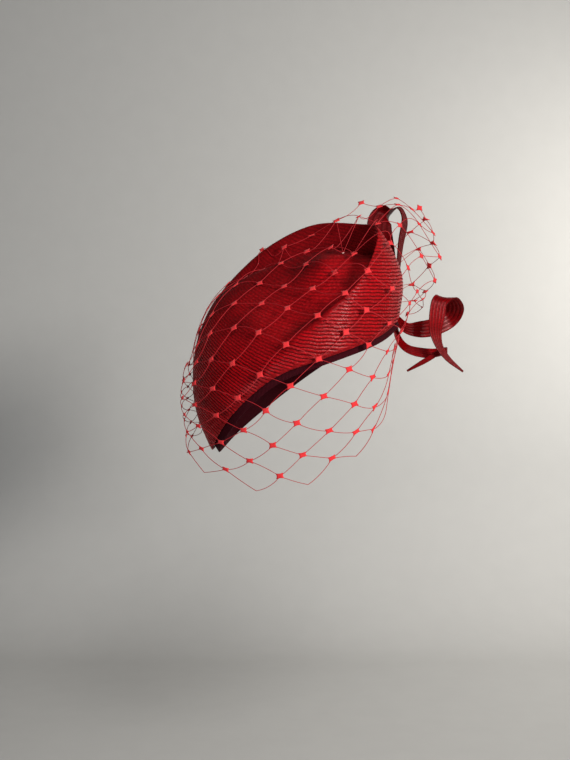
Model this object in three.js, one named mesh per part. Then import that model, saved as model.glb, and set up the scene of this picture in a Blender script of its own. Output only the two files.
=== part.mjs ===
// A veiled straw fascinator: a draped straw crown with an inner ribbon, a coarse dotted net
// and a bow of three straw strips. Millimetres, +Z up, the wearer faces -Y.
// The origin is the middle of the head opening.
import * as THREE from "three";

// Driving dimensions of the crown and its ribbon
const CROWN_ROLL = 35; // degrees that the head opening leans, up towards +X
const STRAW_WALL = 1.6;
const CROWN_COLUMNS = 52; // round the crown
const CROWN_STEPS = [3, 4, 4, 3, 3]; // from each station of a section to the next
const FOLD_CENTRE = { along: 20, across: -22, up: 84.5 }; // on the tongue, in the crown's own frame
const BAND_GAP = 0.5; // between the ribbon and the straw
const BAND_THICK = 1;
const BAND_SHOWS = 5; // below the straw edge
const BAND_RISE = 14; // up the inside of the crown
const BAND_SPAN = 2; // columns of the crown from one section of the ribbon to the next

// Sections of the crown, one for each direction round the fold centre. In the crown's own frame +X
// runs up the lean, +Y to the back and +Z out of the head opening. turn is in degrees from +X,
// anticlockwise seen from above. Each station is [out from the fold centre, up from the head opening].
const CROWN_SECTIONS = [
  { turn: 0, rim: [74, 0], belly: [98, 28], ridge: [103, 73], valley: [90, 51], tongue: [66, 66] },
  { turn: 20, rim: [80, 2], belly: [103, 34], ridge: [105, 87], valley: [91, 60], tongue: [70, 81] },
  { turn: 40, rim: [87, 4], belly: [103, 48], ridge: [90, 112], valley: [66, 79], tongue: [36, 96] },
  { turn: 65, rim: [98, 8], belly: [95, 60], ridge: [67, 119], valley: [46, 91], tongue: [25, 100] },
  { turn: 100, rim: [111, 10], belly: [100, 62], ridge: [58, 114], valley: [42, 102], tongue: [24, 103] },
  { turn: 140, rim: [121, 5], belly: [113, 48], ridge: [62, 100], valley: [40, 103], tongue: [22, 99] },
  { turn: 180, rim: [113, 0], belly: [104, 36], ridge: [76, 75], valley: [45, 91], tongue: [22, 91] },
  { turn: 210, rim: [94, 14], belly: [91, 32], ridge: [73, 56], valley: [46, 74], tongue: [22, 80.5] },
  { turn: 240, rim: [74, 19], belly: [75, 25], ridge: [70, 36], valley: [48, 58], tongue: [24, 71] },
  { turn: 270, rim: [64, 10], belly: [66, 22], ridge: [61, 36], valley: [46, 42], tongue: [24, 64.5] },
  { turn: 300, rim: [61, 2], belly: [65, 20], ridge: [64, 39], valley: [52, 37.5], tongue: [30, 59.5] },
  { turn: 325, rim: [62, -2], belly: [71, 20], ridge: [75, 44], valley: [63, 37], tongue: [40, 57.5] },
  { turn: 343, rim: [67, -2], belly: [83, 22], ridge: [89, 56], valley: [77, 41.5], tongue: [53, 59.5] },
];
const STATIONS = ["rim", "belly", "ridge", "valley", "tongue"];

// Straw strips of the bow, from the crown's right end outwards. at is a point on the middle line of
// the strip, across the direction of its width there and wide that width.
const STRIP_THICK = 1.2;
const STRIP_STEPS = 3; // from each station to the next
const UPRIGHT_LOOP = [
  { at: [76.5, 26, 80], across: [0.6, -0.8, 0], wide: 11 },
  { at: [71.5, 27, 110], across: [0.95, -0.3, 0], wide: 17 },
  { at: [65.5, 24, 134], across: [1, 0.1, 0], wide: 22 },
  { at: [66.5, 25.5, 145.5], across: [0.95, 0.3, 0.1], wide: 20 },
  { at: [74, 28, 152.5], across: [0.5, 0.85, 0.35], wide: 15 },
  { at: [82, 26, 154], across: [0.3, 0.95, 0.25], wide: 14 },
  { at: [87, 22, 145], across: [0.45, 0.9, 0], wide: 12.5 },
  { at: [83.5, 19, 122], across: [0.45, 0.9, 0], wide: 11.5 },
  { at: [81, 18, 99], across: [0.35, 0.95, 0], wide: 10 },
  { at: [79.4, 17, 80], across: [0.2, 1, 0], wide: 8 },
];
const CURL_STRIP = [
  { at: [78.4, 10, 58], across: [0.3, 0, 1], wide: 5 },
  { at: [87, 6, 49], across: [0, 0, 1], wide: 9 },
  { at: [99, 8, 48], across: [0, 0, 1], wide: 14 },
  { at: [113, 14, 51], across: [-0.2, 0, 1], wide: 15 },
  { at: [126, 18, 58], across: [-0.6, 0, 0.8], wide: 15 },
  { at: [130, 12, 67], across: [-0.9, 0.1, 0.4], wide: 14 },
  { at: [123, 1, 74], across: [-0.8, 0.6, 0], wide: 14 },
  { at: [113, -8, 71], across: [-0.9, 0.1, 0.4], wide: 13 },
  { at: [110, -11, 58], across: [-1, 0, 0], wide: 13 },
  { at: [109, -11, 45], across: [-1, 0, -0.2], wide: 10 },
  { at: [112, -11, 33], across: [-0.9, 0, -0.4], wide: 6 },
  { at: [119, -10, 23], across: [-0.8, 0, -0.6], wide: 4.5 },
  { at: [132, -9, 12], across: [-0.8, 0, -0.6], wide: 1.5 },
];
const TAIL_STRIP = [
  { at: [77.8, 15, 58], across: [0.6, 0.8, 0], wide: 4 },
  { at: [80, 13, 42], across: [0.7, 0.2, 0.6], wide: 5 },
  { at: [87, 7, 32], across: [0.35, 0, 0.9], wide: 6.5 },
  { at: [100, 4, 28], across: [0, 0, 1], wide: 8 },
  { at: [112, 4, 28], across: [0, 0, 1], wide: 7 },
  { at: [120, 0, 30], across: [0, 0, 1], wide: 5 },
  { at: [113, -4, 28], across: [-0.3, 0, 1], wide: 4 },
  { at: [101, -4, 21], across: [-0.5, 0, 0.9], wide: 4 },
  { at: [86, -4, 12.5], across: [-0.5, 0, 0.9], wide: 1.5 },
];

// The net. Its lines run from the lower edge to the top along one column of knots, left to right
const NET_COLUMNS = 16; // columns of half diamonds
const NET_ROWS = 17; // rows of half diamonds, the lowest a plain looped edge
const NET_LINES = [
  {
    column: 0,
    at: [[-84, 38, -33], [-86, 40, -22], [-88, 40, -9], [-88, 40, 4], [-85, 42, 20], [-77, 46, 40]],
  },
  {
    column: 4,
    at: [[-91, -50, -60], [-94, -46, -33], [-98, -41, -11], [-97, -32, 11], [-94, -15, 33], [-86, 10, 61]],
  },
  {
    column: 8,
    at: [[-17, -106, -77], [-26, -100, -39], [-34, -88, 6], [-34, -56, 57], [-37, -10, 90], [-36, 40, 119]],
  },
  {
    column: 12,
    at: [[50, -90, -40], [52, -87, -12], [48, -78, 29], [45, -70, 73], [37, -20, 109], [50, 26, 158.5]],
  },
  {
    column: 14,
    at: [[67, -55, 7], [70, -48, 22], [74, -35, 41], [80, -28, 78], [79, -6, 143], [82, 40, 165]],
  },
  {
    column: 16,
    at: [[72, -20, 28], [80, -8, 46], [85, -4, 59], [109, 15, 83], [118, 28, 118], [102, 40, 156]],
  },
];
const NET_MIDDLE = new THREE.Vector3(0, -10, 20); // the net is kept outside the straw, seen from here
const NET_CLEAR = 1.8; // from the straw to the middle of the net
const NET_STIFF = [0, 3, 6]; // degrees aside at which the net clears the straw, so it bridges folds
const NET_FEELERS = 6; // directions that are felt at each of those
const NET_THICK = 1;
const STRAND_WIDE = 1.1;
const DOT_REACH = 3.2; // from the middle of a dot to its corners
const DOT_CROWDED = 0.3; // largest share of a short strand that a dot takes
const EDGE_REACH = 0.9; // from a bend of the plain edge to its strands

const STRAW = { color: 0x8f0d1c, roughness: 0.45, metalness: 0 };
const RIBBON = { color: 0x2a0a10, roughness: 0.8, metalness: 0 };
const NET = { color: 0xd8333a, roughness: 0.7, metalness: 0 };

const radians = THREE.MathUtils.degToRad;
const vector = ([x, y, z]) => new THREE.Vector3(x, y, z);

function indexedGeometry(points, faces) {
  const geometry = new THREE.BufferGeometry().setFromPoints(points);
  geometry.setIndex(faces);
  geometry.computeVertexNormals();
  return geometry;
}

// Two triangles for the four corners of a face, in order
const quad = (a, b, c, d) => [a, b, c, a, c, d];

// A point of a crown section in the crown's own frame
function sectionPoint(turn, [out, up]) {
  return new THREE.Vector3(
    FOLD_CENTRE.along + out * Math.cos(radians(turn)),
    FOLD_CENTRE.across + out * Math.sin(radians(turn)),
    up,
  );
}

// Rows of points from the head opening to the fold centre, each row a closed ring; the last is one point
function crownRings() {
  const apex = new THREE.Vector3(FOLD_CENTRE.along, FOLD_CENTRE.across, FOLD_CENTRE.up);
  const loops = STATIONS.map((name) => {
    const points = CROWN_SECTIONS.map((row) => sectionPoint(row.turn, row[name]));
    return new THREE.CatmullRomCurve3(points, true);
  });
  const columns = [];
  for (let c = 0; c < CROWN_COLUMNS; c++) {
    const here = loops.map((loop) => loop.getPoint(c / CROWN_COLUMNS));
    const opposite = loops.at(-1).getPoint((c / CROWN_COLUMNS + 0.5) % 1);
    const profile = new THREE.CatmullRomCurve3([...here, apex, opposite]);
    const spans = STATIONS.length + 1;
    const column = [];
    CROWN_STEPS.forEach((steps, span) => {
      for (let k = 0; k < steps; k++) column.push(profile.getPoint((span + k / steps) / spans));
    });
    columns.push(column);
  }
  const rings = columns[0].map((_, row) => columns.map((column) => column[row]));
  return [...rings, [apex]];
}

// Faces of a skin of rings that ends in one point; turned skins face the other way
function skinFaces(rings, first, turned) {
  const faces = [];
  const add = (a, b, c) => faces.push(...(turned ? [a, c, b] : [a, b, c]));
  const around = rings[0].length;
  for (let row = 0; row < rings.length - 1; row++) {
    for (let c = 0; c < around; c++) {
      const next = (c + 1) % around;
      const low = first + row * around;
      const high = low + around;
      if (row === rings.length - 2) {
        add(low + c, low + next, high);
      } else {
        add(low + c, low + next, high + next);
        add(low + c, high + next, high + c);
      }
    }
  }
  return faces;
}

// Points of a skin moved along its normals
function offsetSkin(rings, distance) {
  const points = rings.flat();
  const normals = indexedGeometry(points, skinFaces(rings, 0, false)).getAttribute("normal");
  return points.map((point, i) => {
    const normal = new THREE.Vector3().fromBufferAttribute(normals, i);
    return point.clone().addScaledVector(normal, distance);
  });
}

// The crown: an outer skin and an inner one, a straw's thickness inside it, joined round the rim
function crownGeometry() {
  const rings = crownRings();
  const outer = rings.flat();
  const inner = offsetSkin(rings, -STRAW_WALL);
  const faces = [...skinFaces(rings, 0, false), ...skinFaces(rings, outer.length, true)];
  for (let c = 0; c < CROWN_COLUMNS; c++) {
    const next = (c + 1) % CROWN_COLUMNS;
    faces.push(...quad(c, outer.length + c, outer.length + next, next));
  }
  return indexedGeometry([...outer, ...inner], faces);
}

// The inner ribbon: a ring that lines the first rows of the crown and shows below its edge
function bandGeometry() {
  const rings = crownRings();
  const faceOut = offsetSkin(rings, -STRAW_WALL - BAND_GAP);
  const faceIn = offsetSkin(rings, -STRAW_WALL - BAND_GAP - BAND_THICK);
  // A point that far up the inside of a column
  const risen = (skin, c) => {
    const column = rings.slice(0, -1).map((_, row) => skin[row * CROWN_COLUMNS + c]);
    const line = new THREE.CatmullRomCurve3(column);
    return line.getPointAt(BAND_RISE / line.getLength());
  };
  const points = [];
  let rounds = 0;
  for (let c = 0; c < CROWN_COLUMNS; c += BAND_SPAN) {
    const low = (skin) => skin[c].clone().setZ(skin[c].z - BAND_SHOWS);
    points.push(low(faceOut), faceOut[c], risen(faceOut, c));
    points.push(risen(faceIn, c), faceIn[c], low(faceIn));
    rounds++;
  }
  const sides = 6; // points in each section of the ribbon
  const faces = [];
  for (let c = 0; c < rounds; c++) {
    for (let side = 0; side < sides; side++) {
      const next = (c + 1) % rounds;
      const turn = (side + 1) % sides;
      faces.push(...quad(c * sides + side, next * sides + side, next * sides + turn, c * sides + turn));
    }
  }
  return indexedGeometry(points, faces);
}

// A flat strip along its stations, square at both ends
function stripGeometry(stations) {
  const middle = new THREE.CatmullRomCurve3(stations.map((row) => vector(row.at)));
  const across = new THREE.CatmullRomCurve3(stations.map((row) => vector(row.across).normalize()));
  const width = new THREE.CatmullRomCurve3(stations.map((row) => new THREE.Vector3(row.wide, 0, 0)));
  const steps = (stations.length - 1) * STRIP_STEPS;
  const points = [];
  for (let k = 0; k <= steps; k++) {
    const at = middle.getPoint(k / steps);
    const along = middle.getTangent(k / steps);
    const side = across.getPoint(k / steps);
    side.addScaledVector(along, -side.dot(along)).setLength(width.getPoint(k / steps).x / 2);
    const face = along.clone().cross(side).setLength(STRIP_THICK / 2);
    points.push(at.clone().sub(side).sub(face), at.clone().add(side).sub(face));
    points.push(at.clone().add(side).add(face), at.clone().sub(side).add(face));
  }
  const faces = [...quad(0, 3, 2, 1)];
  for (let k = 0; k < steps; k++) {
    for (let side = 0; side < 4; side++) {
      const turn = (side + 1) % 4;
      faces.push(...quad(4 * k + side, 4 * k + turn, 4 * k + 4 + turn, 4 * k + 4 + side));
    }
  }
  faces.push(...quad(4 * steps, 4 * steps + 1, 4 * steps + 2, 4 * steps + 3));
  return indexedGeometry(points, faces);
}

// The surface the net lies on: column and row of knots to a point clear of the straw
function netSurface(crown) {
  const bare = new THREE.Mesh(crown, new THREE.MeshBasicMaterial({ side: THREE.DoubleSide }));
  bare.rotation.y = -radians(CROWN_ROLL);
  bare.updateMatrixWorld();
  const rows = NET_LINES[0].at.map(
    (_, k) => new THREE.CatmullRomCurve3(NET_LINES.map((line) => vector(line.at[k]))),
  );
  const share = (column) => {
    const last = NET_LINES.length - 1;
    const k = Math.min(NET_LINES.findLastIndex((line) => line.column <= column), last - 1);
    const [from, to] = [NET_LINES[k].column, NET_LINES[k + 1].column];
    return (k + (column - from) / (to - from)) / last;
  };
  const ray = new THREE.Raycaster();
  // How far the straw reaches from the middle of the net, in a direction and a little to every side of it
  const strawReach = (away) => {
    const aside = new THREE.Vector3(-away.y, away.x, 0).normalize();
    const reaches = [0];
    for (const lean of NET_STIFF) {
      for (let k = 0; k < NET_FEELERS; k++) {
        const axis = aside.clone().applyAxisAngle(away, (2 * Math.PI * k) / NET_FEELERS);
        ray.set(NET_MIDDLE, away.clone().applyAxisAngle(axis, radians(lean)));
        reaches.push(ray.intersectObject(bare).at(-1)?.distance ?? 0);
      }
    }
    return Math.max(...reaches);
  };
  const known = new Map();
  return (column, row) => {
    const key = `${column},${row}`;
    if (!known.has(key)) {
      const stations = rows.map((curve) => curve.getPoint(share(column)));
      const away = new THREE.CatmullRomCurve3(stations).getPoint(row / NET_ROWS).sub(NET_MIDDLE);
      const reach = Math.max(away.length(), strawReach(away.clone().normalize()) + NET_CLEAR);
      known.set(key, away.setLength(reach).add(NET_MIDDLE));
    }
    return known.get(key).clone();
  };
}

// Ways that the strands leave a knot, as steps of column and row
const WAYS = [[1, 1], [-1, 1], [-1, -1], [1, -1]];

// The net: a dot at every knot, strands between them, and a plain loop between the lowest dots
function netGeometry(crown) {
  const surface = netSurface(crown);
  const points = [];
  const faces = [];
  const clampColumn = (c) => THREE.MathUtils.clamp(c, 0, NET_COLUMNS);
  const clampRow = (r) => THREE.MathUtils.clamp(r, 0, NET_ROWS);
  const outward = (c, r) => {
    const along = surface(clampColumn(c + 1), r).sub(surface(clampColumn(c - 1), r));
    const up = surface(c, clampRow(r + 1)).sub(surface(c, clampRow(r - 1)));
    return along.cross(up).normalize();
  };
  // A pair of points, on the outside and the inside of the net
  const pair = (at, normal) => {
    points.push(at.clone().addScaledVector(normal, NET_THICK / 2));
    points.push(at.clone().addScaledVector(normal, -NET_THICK / 2));
    return points.length - 2;
  };
  const wall = (a, b) => faces.push(...quad(a, a + 1, b + 1, b));
  const plate = (corners) => {
    for (let k = 1; k < corners.length - 1; k++) {
      faces.push(corners[0], corners[k], corners[k + 1]);
      faces.push(corners[0] + 1, corners[k + 1] + 1, corners[k] + 1);
    }
  };
  const inside = (c, r) => c >= 0 && c <= NET_COLUMNS && r >= 0 && r <= NET_ROWS;
  // Ends of the strands at every knot, as [right, left] pairs of points for each way out
  const ends = new Map();
  for (let r = 0; r <= NET_ROWS; r++) {
    for (let c = r % 2 ? 0 : 1; c <= NET_COLUMNS; c += 2) {
      const at = surface(c, r);
      const normal = outward(c, r);
      const plain = r === 0;
      const corners = [];
      WAYS.forEach(([dc, dr], way) => {
        const there = inside(c + dc, r + dr);
        if (plain && !there) return;
        const toward = there
          ? surface(c + dc, r + dr).sub(at)
          : at.clone().sub(surface(clampColumn(c - dc), clampRow(r - dr)));
        const length = toward.length();
        toward.addScaledVector(normal, -toward.dot(normal)).normalize();
        const reach = plain ? EDGE_REACH : Math.min(DOT_REACH, DOT_CROWDED * length);
        const side = normal.clone().cross(toward).setLength(STRAND_WIDE / 2);
        const tip = at.clone().addScaledVector(toward, reach);
        const right = pair(tip.clone().sub(side), normal);
        const left = pair(tip.clone().add(side), normal);
        corners.push({ way, right, left, there });
      });
      plate(corners.flatMap((corner) => [corner.right, corner.left]));
      corners.forEach((corner, k) => {
        const next = corners[(k + 1) % corners.length];
        if (!corner.there) wall(corner.right, corner.left);
        wall(corner.left, next.right);
        ends.set(`${c},${r},${corner.way}`, corner);
      });
    }
  }
  // Strands, each with a bend at its middle
  for (let r = 0; r < NET_ROWS; r++) {
    for (let c = r % 2 ? 0 : 1; c <= NET_COLUMNS; c += 2) {
      WAYS.slice(0, 2).forEach(([dc, dr], way) => {
        if (!inside(c + dc, r + dr)) return;
        const from = ends.get(`${c},${r},${way}`);
        const to = ends.get(`${c + dc},${r + dr},${way + 2}`);
        const normal = outward(c + dc / 2, r + dr / 2);
        const at = surface(c + dc / 2, r + dr / 2);
        const toward = surface(c + dc, r + dr).sub(surface(c, r));
        const side = normal.clone().cross(toward).setLength(STRAND_WIDE / 2);
        const right = pair(at.clone().sub(side), normal);
        const left = pair(at.clone().add(side), normal);
        plate([from.left, from.right, right, left]);
        plate([left, right, to.left, to.right]);
        wall(from.right, right);
        wall(right, to.left);
        wall(to.right, left);
        wall(left, from.left);
      });
    }
  }
  return indexedGeometry(points, faces);
}

function named(name, geometry, finish) {
  const mesh = new THREE.Mesh(geometry, new THREE.MeshStandardMaterial(finish));
  mesh.name = name;
  return mesh;
}

const fascinator = new THREE.Group();
const leaning = new THREE.Group();
leaning.rotation.y = -radians(CROWN_ROLL);
const crown = crownGeometry();
leaning.add(named("crown", crown, STRAW));
leaning.add(named("inner_band", bandGeometry(), RIBBON));
fascinator.add(leaning);
fascinator.add(named("upright_loop", stripGeometry(UPRIGHT_LOOP), STRAW));
fascinator.add(named("curl_strip", stripGeometry(CURL_STRIP), STRAW));
fascinator.add(named("tail_strip", stripGeometry(TAIL_STRIP), STRAW));
fascinator.add(named("veil", netGeometry(crown), NET));

export default fascinator;
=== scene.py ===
"""Looks of a veiled straw fascinator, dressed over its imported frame. Metres, +Z up, front toward -Y."""

import math
import random
from contextlib import contextmanager

import bmesh
import bpy
from mathutils import Matrix, Vector
from mathutils.bvhtree import BVHTree
from mathutils.kdtree import KDTree


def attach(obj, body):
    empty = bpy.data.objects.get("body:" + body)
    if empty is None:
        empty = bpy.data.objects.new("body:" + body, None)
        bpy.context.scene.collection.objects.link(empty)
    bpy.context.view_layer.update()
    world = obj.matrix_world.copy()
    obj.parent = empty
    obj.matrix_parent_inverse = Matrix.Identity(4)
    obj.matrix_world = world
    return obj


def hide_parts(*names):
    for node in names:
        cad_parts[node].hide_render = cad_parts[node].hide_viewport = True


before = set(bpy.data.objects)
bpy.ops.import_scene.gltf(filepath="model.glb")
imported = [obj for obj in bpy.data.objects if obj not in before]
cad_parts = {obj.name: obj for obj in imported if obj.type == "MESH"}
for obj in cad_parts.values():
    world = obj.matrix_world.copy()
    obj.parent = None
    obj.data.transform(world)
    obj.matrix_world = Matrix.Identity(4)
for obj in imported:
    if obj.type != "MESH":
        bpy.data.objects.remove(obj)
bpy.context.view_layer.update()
MM = 0.001

# Camera and studio, as in the photograph
CAMERA_AT = (-0.016, -0.840, 0.005)
CAMERA_LENS = 31.58
CAMERA_SENSOR = 24.0
FLOOR_Z = -0.34
WALL_Y = 0.60
SWEEP_RADIUS = 0.22
STAGE_REACH = 2.4
PAPER = ((0.46, 0.46, 0.452, 1), (0.49, 0.49, 0.48, 1))
HAT_SPOT = Vector((0, 0, 0.04))
WALL_SPOT = Vector((0.36, WALL_Y, 0.10))
# Each light's name, place, size, watts, colour and what it points at
LIGHTS = [
    ("key", (0.70, -0.82, 0.32), 0.22, 12.5, (1.0, 0.96, 0.90), HAT_SPOT),
    ("fill", (-0.55, -0.95, -0.20), 0.45, 4.4, (0.93, 0.96, 1.0), HAT_SPOT),
    ("over", (0.25, -0.70, 0.72), 0.24, 3.4, (1.0, 0.97, 0.92), HAT_SPOT),
    ("wall", (0.58, 0.22, 0.20), 0.30, 2.4, (1.0, 0.96, 0.90), WALL_SPOT),
]
SKY = (0.85, 0.90, 1.0, 1)
SKY_STRENGTH = 0.06

# Rows of the straw's weave, in millimetres
ROW_PITCH = 2.75
ROW_CUTS = 2  # cuts across each row
ROW_DEPTH = 0.5  # from a groove to a crest
ROW_BEND_FROM = 15.0  # left of this the rows start to climb
ROW_BEND = 0.0099  # how fast they steepen, for each millimetre further left
ROW_BACK_FROM = 5.0  # behind this the rows climb over the back of the crown
ROW_BACK_CLIMB = 0.8
ROW_BACK_BLEND = 25.0
ROW_WAVER = 0.17
ROW_WAVES = ((1.0, 0.55, -0.62, 0.0), (0.8, 0.31, 0.47, 1.3))  # size, turns along x and y, shift
ROW_FAINT = 0.3  # relief of the rows where the crown faces up, as a share of that on its walls
RIM_SMOOTH = 5.0  # width of the smooth turned edge
RIM_BLEND = 2.0  # over which the rows come in above it
RIM_LEAN = math.radians(35)  # how far the head opening is tilted
RIM_FACING = 0.8
RIM_NARROW = 2.2  # its faces have a side shorter than this
ROW_TONE = 0.42  # tone of straw whose rows lie flat, from groove to crest
SHADE_TONE = 0.21  # and, as painted shade, inside the fold and at the upper left
SHADE_ZONE_FLAT = 0.6  # share of the rows' height lost there
RIM_TONE = 0.35
TOP_DULL = 0.4  # share of the gloss lost where the straw faces up
SHADE_ZONE_DULL = 0.5  # and, besides, where shade is painted into its tone
FACING_UP = (0.35, 0.65)  # from walls to straw that faces up, by its normal
FACING_LEFT = (0.2, 0.45)
RIBBON_CLEAR = 0.15
RIBBON_NEAR = 1.5  # straw this near the ribbon is left smooth
RIBBON_BEVEL = 0.3
WELD = 0.01  # corners nearer than this are one

# Straw looks: tones of the grooves, painted dark as shade between the rows, of dull and of bright crests, whose
# patches and beads are painted glints, height of the beads, shine
CROWN_LOOK = ((0.05, 0, 0.0006, 1), (0.33, 0.0012, 0.0035, 1), (0.43, 0.0018, 0.005, 1), 0.8, 0.2)
BOW_LOOK = ((0.03, 0, 0, 1), (0.15, 0, 0.001, 1), (0.25, 0.0002, 0.002, 1), 0.2, 0.13)
# The loop is the bow's straw, its tones painted darker as shade
LOOP_LOOK = ((0.03, 0, 0, 1), (0.09, 0, 0.001, 1), (0.12, 0.0002, 0.002, 1), 0.1, 0.05)
STRAW_TINT = (1.0, 0.36, 0.41, 1)
STRAW_DULL = 0.85  # roughness in the grooves
STRAW_GLOSS = 0.63  # and how much smoother the crests are
STRAW_BUMP = 0.32
STRAW_DRAWN = (0.5, 0.5, 1.0)  # draws the beads out along the rows
STRAW_BEADS = 900.0
STRAW_PATCHES = 90.0
VARNISH = 1.1  # coat on the crests, for each part of a straw's shine
VARNISH_ROUGH = 0.3
RIBBON_CORDS = 520.0  # upright cords of the ribbon, as turns of a sine round the hat

# Straw strips of the bow, in millimetres: a point of the middle line, the direction across and the width
STRIP_THICK = 1.0
STRIP_RIB = 0.22
STRIP_RIBS = 5
STRIP_STEPS = 8  # from each station to the next
STRIP_ACROSS = 20
STRIP_FULL = 8.0  # narrower than this, a strip's ribs get lower
STRIP_TONE = 0.25  # tone between its ribs, darker there as painted shade
STRIP_BEVEL = 0.25
STRIP_SHARP = math.radians(60)
STRIP_NEAR = 0.002  # share of the line over which its direction is taken
UPRIGHT_LOOP = [
    ((76.5, 26, 80), (0.6, -0.8, 0), 11),
    ((71.5, 27, 110), (0.95, -0.3, 0), 17),
    ((65.5, 24, 134), (1, 0.1, 0), 22),
    ((67, 25.5, 144.5), (0.97, 0.2, 0.05), 20.5),
    ((74.5, 28.5, 151.2), (0.7, 0.68, 0.2), 15.5),
    ((82, 26, 154), (0.3, 0.95, 0.25), 14),
    ((87, 22, 145), (0.45, 0.9, 0), 12.5),
    ((83.5, 19, 122), (0.45, 0.9, 0), 11.5),
    ((81, 18, 99), (0.35, 0.95, 0), 10),
    ((79.4, 17, 80), (0.2, 1, 0), 8),
]
CURL_STRIP = [
    ((78.4, 10, 58), (0.3, 0, 1), 5),
    ((87, 6, 49), (0, 0, 1), 9),
    ((99, 8, 48), (0, 0, 1), 14),
    ((113, 14, 51), (-0.2, 0, 1), 15),
    ((125.5, 18, 58.5), (-0.6, 0, 0.8), 16),
    ((128, 12, 66.5), (-0.9, 0.1, 0.4), 17.5),
    ((122.5, 1, 73.5), (-0.8, 0.6, 0), 15),
    ((113, -8, 71), (-0.9, 0.1, 0.4), 13),
    ((110, -11, 58), (-1, 0, 0), 13),
    ((109, -11, 45), (-1, 0, -0.2), 10),
    ((112, -11, 33), (-0.9, 0, -0.4), 6),
    ((119, -10, 23), (-0.8, 0, -0.6), 4.5),
    ((132, -9, 12), (-0.8, 0, -0.6), 1.5),
]
TAIL_STRIP = [
    ((77.8, 15, 58), (0.6, 0.8, 0), 4),
    ((80, 13, 42), (0.7, 0.2, 0.6), 5),
    ((87, 7, 32), (0.35, 0, 0.9), 6.5),
    ((100, 4, 28), (0, 0, 1), 8),
    ((112, 4, 28), (0, 0, 1), 7),
    ((120, 0, 30), (0, 0, 1), 5),
    ((113, -4, 28), (-0.3, 0, 1), 4),
    ((101, -4, 21), (-0.5, 0, 0.9), 4),
    ((86, -4, 12.5), (-0.5, 0, 0.9), 1.5),
]

# The net, in millimetres: lines from its lower edge to its top, each along one column of knots
NET_COLUMNS = 16
NET_ROWS = 17
NET_LINES = [
    (0, [(-84, 38, -33), (-86, 40, -22), (-88, 40, -9), (-88, 40, 4), (-85, 42, 20), (-77, 46, 40)]),
    (4, [(-91, -50, -60), (-94, -46, -33), (-98, -41, -11), (-97, -32, 11), (-94, -15, 33), (-86, 10, 61)]),
    (8, [(-17, -106, -77), (-26, -100, -39), (-34, -88, 6), (-34, -56, 57), (-37, -10, 90), (-36, 40, 119)]),
    (12, [(50, -90, -40), (52, -87, -12), (48, -78, 29), (45, -70, 73), (37, -20, 109), (50, 26, 158.5)]),
    (14, [(67, -55, 7), (70, -48, 22), (74, -35, 41), (80, -28, 78), (79, -6, 143), (82, 40, 165)]),
    (16, [(72, -20, 28), (80, -8, 46), (85, -4, 59), (109, 15, 83), (118, 28, 118), (102, 40, 156)]),
]
NET_MIDDLE = Vector((0, -10, 20))
NET_FAR = 400.0  # well outside the crown
NET_CLEAR = 1.8
NET_STIFF = (0, 3, 6)  # degrees round a knot within which the straw holds the net up
NET_FEELERS = 6
NET_SEED = 7
# Columns and rows over which the net comes to lie flat on the crown, at its upper left
DRAWN_COLUMNS = (11.5, 9.5)
DRAWN_ROWS = (11, 13)
DRAWN_LEAST = 0.85  # how near the middle it may come, as a share of where it would hang
STRAND_RADIUS = 0.25
STRAND_STEPS = 10
STRAND_CLEAR = 0.9
KNOT_CLEAR = 1.9
DOT_CLEAR = 0.2
STRAW_HALF = 1.0  # half the straw's thickness
STRAND_BOW = 0.06  # largest sideways bow, as a share of a strand's length
DOT_REACH = 3.4
DOT_CROWDED = 0.3
DOT_TALLER = 0.3  # extra height of a dot, which the flock gives it
DOT_THICK = 0.9
DOT_SIDE = 4  # faces along a dot's side
DOT_WAIST = 0.20  # how far its sides pull in between the corners
DOT_PILLOW = 0.5  # its thickness before it is fitted to its knot
DOT_TAPER = 0.65
WAYS = ((1, 1), (-1, 1), (-1, -1), (1, -1))

# Past its last column the net turns back behind the bow, where its threads are stitched to the crown
TURNED_KNOTS = {
    (17, 8): (103, 22, 68),
    (17, 10): (107, 34, 83),
    (17, 12): (111, 42, 106),
    (17, 14): (115, 43, 125),
    (17, 16): (109, 46, 147),
    (18, 9): (97, 38, 75),
    (18, 11): (97, 50, 91),
    (18, 13): (103, 54, 123),
    (18, 15): (96, 54, 137),
}
TURNED_ENDS = {(19, 10): (82, 50, 78), (19, 12): (80, 52, 90), (19, 14): (78, 52, 102)}
TURNED_FROM = 7  # lowest row that turns back
TURNED_MIDDLE = Vector((92, 22, 105))
TURNED_BOW = 0.07  # how far its threads bulge, as a share of their length

# The tongue's full right-hand end and the crease beside it: centre, reach and rise
TONGUE_FORM = ((Vector((17, -27, 96)), 14, 8.0), (Vector((35, -33, 92)), 8, -4.0))
TONGUE_WAY = Vector((-0.1, -0.6, 0.8))

# The fold of the crown where it runs out toward the front, and how it is eased
FOLD_LINE = [Vector(at) for at in ((30, -62, 76), (15, -70, 59), (-3, -75, 46), (-17, -81, 35), (-27, -84, 22))]
FOLD_REACH = 26.0
FOLD_EASE = 60
FOLD_FACTOR = 0.5
# Its back wall: how far it faces the front, where it starts and how far it faces left
FOLD_FRONT = (0.0, 0.3)
FOLD_BACK = (-35, -15)
FOLD_LEFT = (-0.45, -0.15)

# The stitch that tacks the net into the fold of the crown
TACK_NEAR = Vector((32, -15, 110))
TACK_KNOTS = ((11, 14), (11, 16), (12, 15))
TACK_LONG = 1.5
TACK_RADIUS = 0.45
TACK_TURNS = (20, 110)  # degrees
TACK_LEAN = 0.2
TACK_WAY = Vector((0, -0.4, 0.8))

NEAR_ZERO = 1e-4


def only(obj):
    """Leaves this object alone selected and active."""
    bpy.ops.object.select_all(action="DESELECT")
    obj.select_set(True)
    bpy.context.view_layer.objects.active = obj


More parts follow.
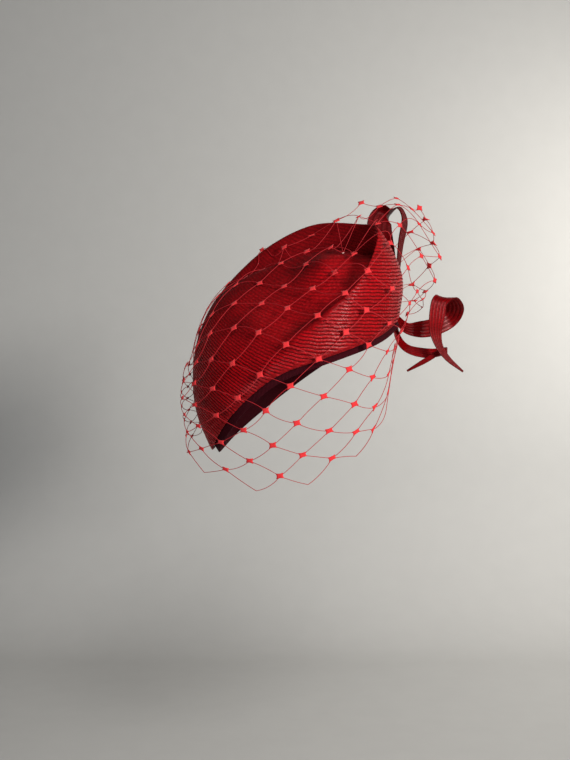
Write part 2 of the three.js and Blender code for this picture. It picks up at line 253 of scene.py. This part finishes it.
@contextmanager
def editing(obj, mode="VERT"):
    """Edit mode on one object, with nothing selected at first."""
    only(obj)
    bpy.ops.object.mode_set(mode="EDIT")
    bpy.ops.mesh.select_mode(type=mode)
    bpy.ops.mesh.select_all(action="DESELECT")
    yield
    bpy.ops.object.mode_set(mode="OBJECT")


def apply_modifier(obj, kind, **settings):
    """Adds one modifier and applies it."""
    only(obj)
    modifier = obj.modifiers.new(kind.lower(), kind)
    for name, value in settings.items():
        setattr(modifier, name, value)
    bpy.ops.object.modifier_apply(modifier=modifier.name)


def smooth_surface(obj, levels):
    """Applies a subdivision surface."""
    apply_modifier(obj, "SUBSURF", levels=levels, render_levels=levels)


def copy_of_node(node, name):
    """A piece that starts as a node's own shape, its corners merged and its triangles joined to quads."""
    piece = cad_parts[node].copy()
    piece.data = piece.data.copy()
    piece.name = name
    piece.parent = None
    for key in list(piece.keys()):
        del piece[key]
    bpy.context.scene.collection.objects.link(piece)
    piece.data.materials.clear()
    with editing(piece):
        bpy.ops.mesh.select_all(action="SELECT")
        bpy.ops.mesh.remove_doubles(threshold=WELD * MM)
        bpy.ops.mesh.tris_convert_to_quads(face_threshold=math.pi, shape_threshold=math.pi)
    return piece


def finish_piece(obj, material, slot, *nodes):
    """Material, body and the nodes that the piece stands for; slot is not used."""
    only(obj)
    bpy.ops.object.shade_smooth()
    obj.data.materials.clear()
    obj.data.materials.append(material)
    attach(obj, "root")
    if nodes:
        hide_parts(*nodes)


# Curves through points, as the part's own pieces follow


def through(points, share):
    """A point of the centripetal curve through these points, at a share of its spans from 0 to 1."""
    spans = len(points) - 1
    at = min(max(share, 0.0), 1.0) * spans
    k = min(int(at), spans - 1)
    t = at - k
    p1, p2 = points[k], points[k + 1]
    p0 = points[k - 1] if k > 0 else p1 * 2 - p2
    p3 = points[k + 2] if k + 2 < len(points) else p2 * 2 - p1
    d0, d1, d2 = ((b - a).length ** 0.5 for a, b in ((p0, p1), (p1, p2), (p2, p3)))
    d1 = d1 if d1 > NEAR_ZERO else 1.0
    d0 = d0 if d0 > NEAR_ZERO else d1
    d2 = d2 if d2 > NEAR_ZERO else d1
    t1 = ((p1 - p0) / d0 - (p2 - p0) / (d0 + d1) + (p2 - p1) / d1) * d1
    t2 = ((p2 - p1) / d1 - (p3 - p1) / (d1 + d2) + (p3 - p2) / d2) * d1
    c2 = (p2 - p1) * 3 - t1 * 2 - t2
    c3 = (p1 - p2) * 2 + t1 + t2
    return p1 + t1 * t + c2 * t * t + c3 * t * t * t


# Materials


def socket_group(name, inputs, outputs):
    """An empty shader group with its sockets; returns the group, its input node and its output node."""
    group = bpy.data.node_groups.new(name, "ShaderNodeTree")
    for label, kind, value in inputs:
        socket = group.interface.new_socket(name=label, in_out="INPUT", socket_type=kind)
        socket.default_value = value
    for label, kind in outputs:
        group.interface.new_socket(name=label, in_out="OUTPUT", socket_type=kind)
    return group, group.nodes.new("NodeGroupInput"), group.nodes.new("NodeGroupOutput")


def maths(tree, operation, *values):
    """A Math node fed with sockets or plain numbers; returns its result."""
    node = tree.nodes.new("ShaderNodeMath")
    node.operation = operation
    for k, value in enumerate(values):
        if isinstance(value, (int, float)):
            node.inputs[k].default_value = value
        else:
            tree.links.new(value, node.inputs[k])
    return node.outputs[0]


def noise(tree, vector, scale, detail):
    """A Noise texture's factor over a vector."""
    node = tree.nodes.new("ShaderNodeTexNoise")
    node.inputs["Scale"].default_value = scale
    node.inputs["Detail"].default_value = detail
    tree.links.new(vector, node.inputs["Vector"])
    return node.outputs["Fac"]


def ramp(tree, factor, low, high):
    """A factor stretched so that low becomes 0 and high becomes 1."""
    node = tree.nodes.new("ShaderNodeMapRange")
    node.inputs["From Min"].default_value = low
    node.inputs["From Max"].default_value = high
    tree.links.new(factor, node.inputs["Value"])
    return node.outputs["Result"]


def blended(tree, factor, first, second):
    """Two colours blended by a factor; each is a socket or a plain colour."""
    node = tree.nodes.new("ShaderNodeMix")
    node.data_type = "RGBA"
    tree.links.new(factor, node.inputs["Factor"])
    for key, value in (("A", first), ("B", second)):
        socket = next(s for s in node.inputs if s.name == key and s.type == "RGBA")
        if isinstance(value, tuple):
            socket.default_value = value
        else:
            tree.links.new(value, socket)
    return next(s for s in node.outputs if s.type == "RGBA")


def thread_gloss_group():
    """Glints along the threads: one mask of small beads and one of broad patches."""
    group, start, end = socket_group(
        "thread_gloss",
        [("Vector", "NodeSocketVector", (0, 0, 0)), ("Bead", "NodeSocketFloat", 800.0),
         ("Patch", "NodeSocketFloat", 60.0)],
        [("Beads", "NodeSocketFloat"), ("Patches", "NodeSocketFloat")],
    )
    for label, scale, low, high in (("Beads", "Bead", 0.42, 0.66), ("Patches", "Patch", 0.3, 0.7)):
        node = group.nodes.new("ShaderNodeTexNoise")
        node.inputs["Detail"].default_value = 1.5
        group.links.new(start.outputs["Vector"], node.inputs["Vector"])
        group.links.new(start.outputs[scale], node.inputs["Scale"])
        group.links.new(ramp(group, node.outputs["Fac"], low, high), end.inputs[label])
    return group


THREAD_GLOSS = thread_gloss_group()


def material_parts(name):
    """A new material's tree, its Principled shader and its Object coordinates."""
    material = bpy.data.materials.new(name)
    material.use_nodes = True
    tree = material.node_tree
    shader = tree.nodes["Principled BSDF"]
    where = tree.nodes.new("ShaderNodeTexCoord").outputs["Object"]
    return material, tree, shader, where


def bumped(tree, shader, height, distance):
    """Feeds a height to the shader's normal."""
    node = tree.nodes.new("ShaderNodeBump")
    node.inputs["Strength"].default_value = 1.0
    node.inputs["Distance"].default_value = distance
    tree.links.new(height, node.inputs["Height"])
    tree.links.new(node.outputs["Normal"], shader.inputs["Normal"])


def gloss_of_threads(tree, where, bead, patch):
    """The shared glints with this material's own scales."""
    node = tree.nodes.new("ShaderNodeGroup")
    node.node_tree = THREAD_GLOSS
    node.inputs["Bead"].default_value = bead
    node.inputs["Patch"].default_value = patch
    tree.links.new(where, node.inputs["Vector"])
    return node.outputs["Beads"], node.outputs["Patches"]


def attribute(tree, name):
    """A number that the mesh holds at its points."""
    node = tree.nodes.new("ShaderNodeAttribute")
    node.attribute_name = name
    return node.outputs["Fac"]


def straw_material(name, groove, dull, bright, bead_height, shine):
    """Glossy dyed straw: painted shade darkens it between the rows, and painted glints brighten beads of thread
    along their crests.
    """
    material, tree, shader, where = material_parts(name)
    falls = maths(tree, "SUBTRACT", 1.0, attribute(tree, "rib"))
    crest = maths(tree, "SUBTRACT", 1.0, maths(tree, "MULTIPLY", falls, falls))
    drawn_out = tree.nodes.new("ShaderNodeMapping")
    drawn_out.inputs["Scale"].default_value = STRAW_DRAWN
    tree.links.new(where, drawn_out.inputs["Vector"])
    beads, patches = gloss_of_threads(tree, drawn_out.outputs["Vector"], STRAW_BEADS, STRAW_PATCHES)
    # Painted shade and highlight: the colour darkens toward the groove where shade falls between the rows, and
    # beads and patches brighten the crests as painted glints
    lit = maths(tree, "MULTIPLY", ramp(tree, crest, 0.2, 0.9), ramp(tree, beads, -1.4, 0.9))
    colour = blended(tree, lit, groove, blended(tree, patches, dull, bright))
    tree.links.new(colour, shader.inputs["Base Color"])
    gloss = maths(tree, "MULTIPLY", lit, maths(tree, "SUBTRACT", 1.0, attribute(tree, "dulled")))
    rough = maths(tree, "SUBTRACT", STRAW_DULL, maths(tree, "MULTIPLY", gloss, STRAW_GLOSS))
    tree.links.new(rough, shader.inputs["Roughness"])
    tree.links.new(maths(tree, "MULTIPLY", gloss, shine * VARNISH), shader.inputs["Coat Weight"])
    shader.inputs["Coat Roughness"].default_value = VARNISH_ROUGH
    height = maths(tree, "ADD", crest, maths(tree, "MULTIPLY", beads, bead_height))
    bumped(tree, shader, height, STRAW_BUMP * MM)
    shader.inputs["Specular IOR Level"].default_value = shine
    shader.inputs["Specular Tint"].default_value = STRAW_TINT
    return material


def ribbon_material():
    """Dark grosgrain: fine upright cords with a dull face."""
    material, tree, shader, where = material_parts("dark_grosgrain")
    split = tree.nodes.new("ShaderNodeSeparateXYZ")
    tree.links.new(where, split.inputs[0])
    turn = maths(tree, "ARCTAN2", split.outputs["Y"], split.outputs["X"])
    cords = maths(tree, "SINE", maths(tree, "MULTIPLY", turn, RIBBON_CORDS))
    wear = noise(tree, where, 90.0, 3.0)
    colour = blended(tree, wear, (0.022, 0.0010, 0.003, 1), (0.045, 0.0022, 0.006, 1))
    tree.links.new(colour, shader.inputs["Base Color"])
    tree.links.new(ramp(tree, wear, -1.6, 1.4), shader.inputs["Roughness"])
    bumped(tree, shader, cords, 0.15 * MM)
    shader.inputs["Specular IOR Level"].default_value = 0.05
    return material


def strand_material():
    """Fine dyed net thread with a slight twist."""
    material, tree, shader, where = material_parts("net_thread")
    twist = noise(tree, where, 1400.0, 1.0)
    colour = blended(tree, twist, (0.30, 0.010, 0.015, 1), (0.46, 0.022, 0.028, 1))
    tree.links.new(colour, shader.inputs["Base Color"])
    tree.links.new(ramp(tree, twist, -1.2, 1.6), shader.inputs["Roughness"])
    bumped(tree, shader, twist, 0.05 * MM)
    shader.inputs["Specular IOR Level"].default_value = 0.15
    return material


def dot_material():
    """Flocked dots: a soft bright face with a fibrous grain."""
    material, tree, shader, where = material_parts("flocked_dot")
    flock = noise(tree, where, 2200.0, 2.0)
    broad = noise(tree, where, 160.0, 1.0)
    face = blended(tree, broad, (0.62, 0.024, 0.030, 1), (0.76, 0.042, 0.046, 1))
    colour = blended(tree, ramp(tree, flock, 0.25, 0.6), (0.48, 0.015, 0.020, 1), face)
    tree.links.new(colour, shader.inputs["Base Color"])
    tree.links.new(ramp(tree, flock, -2.0, 1.0), shader.inputs["Roughness"])
    bumped(tree, shader, flock, 0.12 * MM)
    shader.inputs["Specular IOR Level"].default_value = 0.15
    shader.inputs["Sheen Weight"].default_value = 0.15
    shader.inputs["Sheen Tint"].default_value = (1.0, 0.5, 0.5, 1)
    return material


def stitch_material():
    """Pale waxed sewing thread."""
    material, tree, shader, where = material_parts("sewing_thread")
    twist = noise(tree, where, 1800.0, 1.0)
    colour = blended(tree, twist, (0.62, 0.30, 0.28, 1), (0.86, 0.56, 0.52, 1))
    tree.links.new(colour, shader.inputs["Base Color"])
    tree.links.new(ramp(tree, twist, -0.8, 1.6), shader.inputs["Roughness"])
    bumped(tree, shader, twist, 0.08 * MM)
    return material


# The crown


def row_height(x, y, z):
    """How far a point lies up the straw's rows, in millimetres."""
    left = max(0.0, ROW_BEND_FROM - x)
    back = (y - ROW_BACK_FROM) / ROW_BACK_BLEND
    climb = ROW_BACK_BLEND * (math.log1p(math.exp(back)) if back < 30 else back)
    waver = sum(size * math.sin(along * x + across * y + shift) for size, along, across, shift in ROW_WAVES)
    return z - 0.5 * ROW_BEND * left * left - ROW_BACK_CLIMB * climb + ROW_WAVER * waver


def crest_share(height):
    """0 in the groove between two rows and 1 on a row's crest."""
    phase = (height / ROW_PITCH) % 1.0
    return 1.0 - abs(2.0 * phase - 1.0)


def rim_points(crown):
    """Corners of the narrow faces round the head opening."""
    down = Vector((math.sin(RIM_LEAN), 0, -math.cos(RIM_LEAN)))
    corners = crown.data.vertices
    points = set()
    for face in crown.data.polygons:
        shortest = min((corners[a].co - corners[b].co).length for a, b in face.edge_keys)
        if face.normal.dot(down) > RIM_FACING and shortest < RIM_NARROW * MM:
            points.update(face.vertices)
    return [corners[k].co.copy() for k in points]


def cut_rows(piece):
    """Cuts the surface along its rows, ROW_CUTS times across each row: at every crest and groove."""
    mesh = piece.data
    places = [v.co.copy() for v in mesh.vertices]
    heights = [row_height(*(p / MM)) for p in places]
    for vertex, height in zip(mesh.vertices, heights):
        vertex.co.z = height * MM
    step = ROW_PITCH / ROW_CUTS
    low = math.floor(min(heights) / step) + 1
    high = math.ceil(max(heights) / step)
    with editing(piece):
        for k in range(low, high):
            bpy.ops.mesh.select_all(action="SELECT")
            bpy.ops.mesh.bisect(plane_co=(0, 0, k * step * MM), plane_no=(0, 0, 1), threshold=1e-6)
    for vertex in mesh.vertices:
        x, y, z = vertex.co / MM
        vertex.co.z = (z - row_height(x, y, 0.0)) * MM


def between(value, low, high):
    """How far a value is from low to high, held to 0 and 1."""
    return min(1.0, max(0.0, (value - low) / (high - low)))


def inside_fold(y, normal):
    """1 on the back wall of the fold, where the rows lie flat and shade is painted into the tone, and 0 on the
    outside of the crown.
    """
    return between(-normal.y, *FOLD_FRONT) * between(y, *FOLD_BACK) * between(-normal.x, *FOLD_LEFT)


def fill_tongue(crown):
    """Rounds the tongue's right-hand end and sinks the crease beside it."""
    for vertex in crown.data.vertices:
        at = vertex.co / MM
        for centre, reach, rise in TONGUE_FORM:
            share = math.exp(-(at - centre).length_squared / (2 * reach * reach))
            vertex.co += TONGUE_WAY * rise * MM * share


def ease_fold(crown):
    """Smooths the fold where it runs out toward the front."""
    group = crown.vertex_groups.new(name="fold")
    spans = list(zip(FOLD_LINE, FOLD_LINE[1:]))
    for vertex in crown.data.vertices:
        at = vertex.co / MM
        gap = FOLD_REACH
        for start, end in spans:
            share = (at - start).dot(end - start) / (end - start).length_squared
            gap = min(gap, (at - start.lerp(end, between(share, 0.0, 1.0))).length)
        if gap < FOLD_REACH:
            near = 1 - gap / FOLD_REACH
            group.add([vertex.index], near * near * (3 - 2 * near), "REPLACE")
    apply_modifier(crown, "SMOOTH", factor=FOLD_FACTOR, iterations=FOLD_EASE, vertex_group="fold")


def straw_crown(material):
    """The draped crown, its wall cut into rows of straw and its rim left smooth."""
    crown = copy_of_node("crown", "straw_crown")
    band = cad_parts["inner_band"].data
    ribbon = BVHTree.FromPolygons([v.co for v in band.vertices], [p.vertices for p in band.polygons])
    points = rim_points(crown)
    rim = KDTree(len(points))
    for k, point in enumerate(points):
        rim.insert(point, k)
    rim.balance()
    smooth_surface(crown, 2)
    fill_tongue(crown)
    ease_fold(crown)
    cut_rows(crown)
    mesh = crown.data
    mesh.update()
    normals = [v.normal.copy() for v in mesh.vertices]
    rib = mesh.attributes.new("rib", "FLOAT", "POINT")
    dulled = mesh.attributes.new("dulled", "FLOAT", "POINT")
    for vertex, normal in zip(mesh.vertices, normals):
        share = crest_share(row_height(*(vertex.co / MM)))
        away = rim.find(vertex.co)[2] / MM
        plain = between(away, RIM_SMOOTH - RIM_BLEND, RIM_SMOOTH)
        if ribbon.find_nearest(vertex.co, RIBBON_NEAR * MM)[0]:
            plain = 0.0
        folded = inside_fold(vertex.co.y / MM, normal)
        upward = between(normal.z, *FACING_UP)
        faint = max(upward, folded)
        # Zone of painted shade: inside the fold and on straw facing up and left, the tone darkens as shade, the
        # rows flatten and the gloss dulls
        shade_zone = max(folded, upward * between(-normal.x, *FACING_LEFT))
        relief = (1.0 + (ROW_FAINT - 1.0) * faint) * (1.0 - SHADE_ZONE_FLAT * shade_zone)
        tone = ROW_TONE + shade_zone * (SHADE_TONE - ROW_TONE)
        shown = tone + relief * (share - tone)
        rib.data[vertex.index].value = RIM_TONE + plain * (shown - RIM_TONE)
        dulled.data[vertex.index].value = TOP_DULL * faint + SHADE_ZONE_DULL * shade_zone
        rise = 0.5 - (relief * (1 - share)) ** 2
        vertex.co += normal * rise * ROW_DEPTH * MM * plain
    finish_piece(crown, material, "straw", "crown")
    return crown


def head_ribbon(surface, material):
    """The ribbon inside the head opening, its edges rounded and its face clear of the straw."""
    ribbon = copy_of_node("inner_band", "head_ribbon")
    apply_modifier(ribbon, "BEVEL", width=RIBBON_BEVEL * MM, segments=2, limit_method="ANGLE")
    smooth_surface(ribbon, 2)
    for vertex in ribbon.data.vertices:
        vertex.co = surface.clear_of_straw(vertex.co / MM, RIBBON_CLEAR) * MM
    finish_piece(ribbon, material, "ribbon", "inner_band")


# The bow


def straw_strip(name, node, stations, material):
    """A ribbed strip of straw along its stations, rounded at its edges."""
    middle = [Vector(at) for at, across, wide in stations]
    sides = [Vector(across).normalized() for at, across, wide in stations]
    widths = [Vector((wide, 0, 0)) for at, across, wide in stations]
    steps = (len(stations) - 1) * STRIP_STEPS
    bpy.ops.object.select_all(action="DESELECT")
    bpy.ops.mesh.primitive_grid_add(x_subdivisions=STRIP_ACROSS, y_subdivisions=steps, size=2)
    strip = bpy.context.object
    strip.name = name
    mesh = strip.data
    rib = mesh.attributes.new("rib", "FLOAT", "POINT")
    for vertex in mesh.vertices:
        across, share = vertex.co.x, (vertex.co.y + 1) / 2
        at = through(middle, share)
        before, after = max(0, share - STRIP_NEAR), min(1, share + STRIP_NEAR)
        along = (through(middle, after) - through(middle, before)).normalized()
        side = through(sides, share)
        side = (side - along * side.dot(along)).normalized()
        face = along.cross(side)
        crest = 0.5 + 0.5 * math.cos(math.pi * (across * STRIP_RIBS + STRIP_RIBS - 1))
        wide = through(widths, share).x
        rise = STRIP_RIB * (crest - 0.5) * min(1.0, wide / STRIP_FULL)
        vertex.co = (at + side * across * wide / 2 + face * rise) * MM
        # Darker between the ribs, as painted shade
        rib.data[vertex.index].value = STRIP_TONE + (1 - STRIP_TONE) * crest
    apply_modifier(strip, "SOLIDIFY", thickness=STRIP_THICK * MM, offset=0)
    apply_modifier(
        strip, "BEVEL", width=STRIP_BEVEL * MM, segments=2, limit_method="ANGLE", angle_limit=STRIP_SHARP
    )
    finish_piece(strip, material, "straw", node)
    line = [through(middle, k / steps) for k in range(steps + 1)]
    spans = [(b - a).length * MM for a, b in zip(line, line[1:])]
    breadths = [through(widths, (k + 0.5) / steps).x * MM for k in range(steps)]


# The net


class NetSurface:
    """The surface that the net lies on, from a column and row of knots to a point clear of the straw."""

    def __init__(self, crown):
        mesh = crown.data
        places = [v.co / MM for v in mesh.vertices]
        self.straw = BVHTree.FromPolygons(places, [p.vertices for p in mesh.polygons])
        self.known = {}

    def straw_reach(self, away, leans=NET_STIFF):
        """How far the straw reaches from the middle, in a direction and a little to every side of it."""
        aside = Vector((-away.y, away.x, 0)).normalized()
        farthest = 0.0
        for lean in leans:
            for k in range(NET_FEELERS):
                axis = Matrix.Rotation(math.tau * k / NET_FEELERS, 3, away) @ aside
                ray = Matrix.Rotation(math.radians(lean), 3, axis) @ away
                hit = self.straw.ray_cast(NET_MIDDLE + ray * NET_FAR, -ray)[3]
                if hit is not None and hit < NET_FAR:
                    farthest = max(farthest, NET_FAR - hit)
        return farthest

    def column_share(self, column):
        """A column as a share of the lines, which are unevenly spaced."""
        last = len(NET_LINES) - 1
        k = min(max(i for i, line in enumerate(NET_LINES) if line[0] <= column), last - 1)
        low, high = NET_LINES[k][0], NET_LINES[k + 1][0]
        return (k + (column - low) / (high - low)) / last

    def __call__(self, column, row):
        key = (round(column, 4), round(row, 4))
        if key not in self.known:
            stations = []
            for k in range(len(NET_LINES[0][1])):
                line = [Vector(points[k]) for _, points in NET_LINES]
                stations.append(through(line, self.column_share(column)))
            away = through(stations, row / NET_ROWS) - NET_MIDDLE
            lying = self.straw_reach(away.normalized()) + NET_CLEAR
            reach = max(away.length, lying)
            drawn_in = between(column, *DRAWN_COLUMNS) * between(row, *DRAWN_ROWS)
            if drawn_in:
                close = self.straw_reach(away.normalized(), (0,)) + NET_CLEAR
                reach += drawn_in * (max(close, DRAWN_LEAST * reach) - reach)
            self.known[key] = self.clear_of_straw(NET_MIDDLE + away.normalized() * reach, KNOT_CLEAR)
        return self.known[key].copy()

    def on_straw(self, near, height):
        """The place on the straw that is nearest to a point, and a height above it."""
        at, normal, _, _ = self.straw.find_nearest(near)
        return at + normal * height

    def lifted(self, point):
        """A point of a thread, lifted off the straw where it would touch it."""
        away = point - NET_MIDDLE
        reach = max(away.length, self.straw_reach(away.normalized(), (0,)) + STRAND_CLEAR)
        return self.clear_of_straw(NET_MIDDLE + away.normalized() * reach, STRAND_CLEAR)

    def clear_of_straw(self, point, gap):
        """A point, moved straight away from the straw where it is in it or nearer than a gap."""
        at, normal, _, distance = self.straw.find_nearest(point)
        if (point - at).dot(normal) < 0 and distance < STRAW_HALF:
            return at + normal * gap
        return point if distance >= gap else at + (point - at).normalized() * gap

    def normal(self, column, row):
        """The way out of the net at a knot."""
        left, right = max(0, column - 1), min(NET_COLUMNS, column + 1)
        low, high = max(0, row - 1), min(NET_ROWS, row + 1)
        along = self(right, row) - self(left, row)
        up = self(column, high) - self(column, low)
        return along.cross(up).normalized()


def inside(column, row):
    """Whether a knot is on the net."""
    return 0 <= column <= NET_COLUMNS and 0 <= row <= NET_ROWS


def knots():
    """Every knot's column and row."""
    for row in range(NET_ROWS + 1):
        for column in range(0 if row % 2 else 1, NET_COLUMNS + 1, 2):
            yield column, row


def net_runs(surface):
    """Threads of the net as start, end and bend, each with a slight bow of its own."""
    rng = random.Random(NET_SEED)
    for column, row in knots():
        for dc, dr in WAYS[:2]:
            if not inside(column + dc, row + dr):
                continue
            ends = surface(column, row), surface(column + dc, row + dr)
            normal = surface.normal(column + dc / 2, row + dr / 2)
            aside = normal.cross(ends[1] - ends[0]) * rng.uniform(-STRAND_BOW, STRAND_BOW)
            yield *ends, surface(column + dc / 2, row + dr / 2) - (ends[0] + ends[1]) / 2 + aside


def turned_places(surface):
    """Where the knots of the turned part are, with the knots and stitches that it hangs between."""
    places = {key: Vector(at) for key, at in TURNED_KNOTS.items()}
    for row in range(TURNED_FROM, NET_ROWS + 1, 2):
        places[NET_COLUMNS, row] = surface(NET_COLUMNS, row)
    for key, near in TURNED_ENDS.items():
        places[key] = surface.on_straw(Vector(near), STRAND_RADIUS)
    return places


def turned_runs(surface):
    """Threads of the part that is turned back behind the bow."""
    places = turned_places(surface)
    for (column, row), start in places.items():
        for dr in (1, -1):
            end = places.get((column + 1, row + dr))
            if end is not None:
                out = ((start + end) / 2 - TURNED_MIDDLE).normalized()
                yield start, end, out * (end - start).length * TURNED_BOW


def tack_runs(surface):
    """Threads that run from knots of the net to the stitch in the fold."""
    tack = surface.on_straw(TACK_NEAR, STRAND_RADIUS)
    for knot in TACK_KNOTS:
        yield surface(*knot), tack, Vector((0, 0, 0))


def thread_piece(name, radius, paths):
    """One mesh of round threads along paths of points, in millimetres."""
    curve = bpy.data.curves.new(name, "CURVE")
    curve.dimensions = "3D"
    curve.bevel_depth = radius * MM
    curve.bevel_resolution = 1
    curve.use_fill_caps = True
    for path in paths:
        spline = curve.splines.new("POLY")
        spline.points.add(len(path) - 1)
        for point, at in zip(spline.points, path):
            point.co = (*(at * MM), 1)
    threads = bpy.data.objects.new(name, curve)
    bpy.context.scene.collection.objects.link(threads)
    only(threads)
    bpy.ops.object.convert(target="MESH")
    return bpy.context.object


def bowed(start, end, bend):
    """Points of a thread from its start to its end, farthest aside by its bend in the middle."""
    shares = [k / STRAND_STEPS for k in range(STRAND_STEPS + 1)]
    return [start.lerp(end, t) + bend * 4 * t * (1 - t) for t in shares]


def net_strands(surface, material):
    """The net's threads, lifted off the straw where they would touch it."""
    paths = [[surface.lifted(point) for point in bowed(*run)] for run in net_runs(surface)]
    paths += [bowed(*run) for run in [*turned_runs(surface), *tack_runs(surface)]]
    strands = thread_piece("net_strands", STRAND_RADIUS, paths)
    finish_piece(strands, material, "net", "veil")


def tack_stitch(surface, material):
    """The small crossed stitch in the fold."""
    paths = []
    tack = surface.on_straw(TACK_NEAR, STRAND_RADIUS)
    rise = TACK_WAY * TACK_RADIUS
    for turn in TACK_TURNS:
        way = Vector((math.cos(math.radians(turn)), math.sin(math.radians(turn)), TACK_LEAN))
        paths.append([tack + way * TACK_LONG * t / 2 + rise * (1 - t * t) for t in (-1, -0.5, 0, 0.5, 1)])
    stitch = thread_piece("tack_stitch", TACK_RADIUS, paths)
    finish_piece(stitch, material, "net")


def dot_pillow():
    """One flocked dot: a soft square whose sides pull in between its corners, two units across."""
    bpy.ops.object.select_all(action="DESELECT")
    bpy.ops.mesh.primitive_grid_add(x_subdivisions=DOT_SIDE, y_subdivisions=DOT_SIDE, size=2)
    dot = bpy.context.object
    for vertex in dot.data.vertices:
        x, y, _ = vertex.co
        pull = 1 - DOT_WAIST * (1 - min(abs(x), abs(y)) ** 2) * max(abs(x), abs(y))
        vertex.co = (x * pull, y * pull, 0)
    apply_modifier(dot, "SOLIDIFY", thickness=DOT_PILLOW, offset=0)
    for vertex in dot.data.vertices:
        vertex.co.z *= 1 - DOT_TAPER * min(1, max(abs(vertex.co.x), abs(vertex.co.y))) ** 2
    return dot


def net_knots(surface):
    """Knots above the net's plain edge: their place, their way out and the four threads from them."""
    for column, row in knots():
        if row == 0:
            continue
        at = surface(column, row)
        threads = []
        for dc, dr in WAYS:
            if inside(column + dc, row + dr):
                threads.append(surface(column + dc, row + dr) - at)
            else:
                back = min(max(column - dc, 0), NET_COLUMNS), min(max(row - dr, 0), NET_ROWS)
                threads.append(at - surface(*back))
        yield at, surface.normal(column, row), threads


def turned_knots(surface):
    """Knots of the part that is turned back behind the bow."""
    places = turned_places(surface)
    for column, row in TURNED_KNOTS:
        at = places[column, row]
        threads = []
        for dc, dr in WAYS:
            there = places.get((column + dc, row + dr))
            opposite = places.get((column - dc, row - dr))
            threads.append(there - at if there is not None else at - opposite)
        yield at, (at - TURNED_MIDDLE).normalized(), threads


def net_dots(surface, material):
    """A dot on every knot above the plain edge, its corners drawn out along the four threads."""
    pattern = dot_pillow()
    shape = [v.co.copy() for v in pattern.data.vertices]
    dots = []
    for at, normal, threads in [*net_knots(surface), *turned_knots(surface)]:
        flat = [way - normal * way.dot(normal) for way in threads]
        upright = (flat[0] + flat[1] - flat[2] - flat[3]).normalized()
        corners = []
        for way, toward in zip(threads, flat):
            corner = toward.normalized() * min(DOT_REACH, DOT_CROWDED * way.length)
            corners.append(corner + upright * corner.dot(upright) * DOT_TALLER)
        dot = pattern.copy()
        dot.data = pattern.data.copy()
        bpy.context.scene.collection.objects.link(dot)
        for vertex, (x, y, z) in zip(dot.data.vertices, shape):
            shares = ((1 + x) * (1 + y), (1 - x) * (1 + y), (1 - x) * (1 - y), (1 + x) * (1 - y))
            place = at + normal * z * 2 * DOT_THICK
            for corner, share in zip(corners, shares):
                place += corner * share / 4
            vertex.co = surface.clear_of_straw(place, DOT_CLEAR) * MM
        dots.append(dot)
    bpy.data.objects.remove(pattern)
    bpy.ops.object.select_all(action="DESELECT")
    for dot in dots:
        dot.select_set(True)
    bpy.context.view_layer.objects.active = dots[0]
    bpy.ops.object.join()
    joined = bpy.context.object
    joined.name = "net_dots"
    with editing(joined):
        bpy.ops.mesh.select_all(action="SELECT")
        bpy.ops.mesh.normals_make_consistent(inside=False)
    finish_piece(joined, material, "net")


# The studio


def studio():
    """A pale floor that sweeps up into a wall, the soft lights and the camera."""
    material, tree, shader, where = material_parts("pale_paper")
    grain = noise(tree, where, 40.0, 4.0)
    tree.links.new(blended(tree, grain, *PAPER), shader.inputs["Base Color"])
    shader.inputs["Roughness"].default_value = 0.9
    bpy.ops.object.select_all(action="DESELECT")
    bpy.ops.mesh.primitive_plane_add(size=1)
    sweep = bpy.context.object
    sweep.name = "pale_floor"
    for vertex in sweep.data.vertices:
        y = -STAGE_REACH if vertex.co.y < 0 else WALL_Y
        vertex.co = (vertex.co.x * 2 * STAGE_REACH, y, FLOOR_Z)
    with editing(sweep, "EDGE"):
        for edge in bmesh.from_edit_mesh(sweep.data).edges:
            if all(vertex.co.y > 0 for vertex in edge.verts):
                edge.select_set(True)
        bpy.ops.mesh.extrude_region_move(TRANSFORM_OT_translate={"value": (0, 0, STAGE_REACH)})
    apply_modifier(sweep, "BEVEL", width=SWEEP_RADIUS, segments=12, limit_method="ANGLE")
    only(sweep)
    bpy.ops.object.shade_smooth()
    sweep.data.materials.append(material)
    for name, at, size, watts, colour, target in LIGHTS:
        lamp = bpy.data.lights.new(name, "AREA")
        lamp.size = size
        lamp.energy = watts
        lamp.color = colour
        light = bpy.data.objects.new(name, lamp)
        light.location = at
        light.rotation_euler = (target - Vector(at)).to_track_quat("-Z", "Y").to_euler()
        bpy.context.scene.collection.objects.link(light)
    world = bpy.data.worlds.new("studio")
    world.use_nodes = True
    sky = world.node_tree.nodes["Background"]
    sky.inputs["Color"].default_value = SKY
    sky.inputs["Strength"].default_value = SKY_STRENGTH
    bpy.context.scene.world = world
    lens = bpy.data.cameras.new("camera")
    lens.sensor_fit = "VERTICAL"
    lens.sensor_height = CAMERA_SENSOR
    lens.lens = CAMERA_LENS
    camera = bpy.data.objects.new("camera", lens)
    camera.location = CAMERA_AT
    camera.rotation_euler = (math.pi / 2, 0, 0)
    bpy.context.scene.collection.objects.link(camera)
    bpy.context.scene.camera = camera
    bpy.context.scene.view_settings.view_transform = "Standard"


studio()
CROWN = straw_crown(straw_material("dyed_straw", *CROWN_LOOK))
NET_SURFACE = NetSurface(CROWN)
head_ribbon(NET_SURFACE, ribbon_material())
BOW_STRAW = straw_material("satin_straw", *BOW_LOOK)
LOOP_STRAW = straw_material("painted_shade_satin_straw", *LOOP_LOOK)
straw_strip("upright_loop_straw", "upright_loop", UPRIGHT_LOOP, LOOP_STRAW)
straw_strip("curl_straw", "curl_strip", CURL_STRIP, BOW_STRAW)
straw_strip("tail_straw", "tail_strip", TAIL_STRIP, BOW_STRAW)
net_strands(NET_SURFACE, strand_material())
net_dots(NET_SURFACE, dot_material())
tack_stitch(NET_SURFACE, stitch_material())
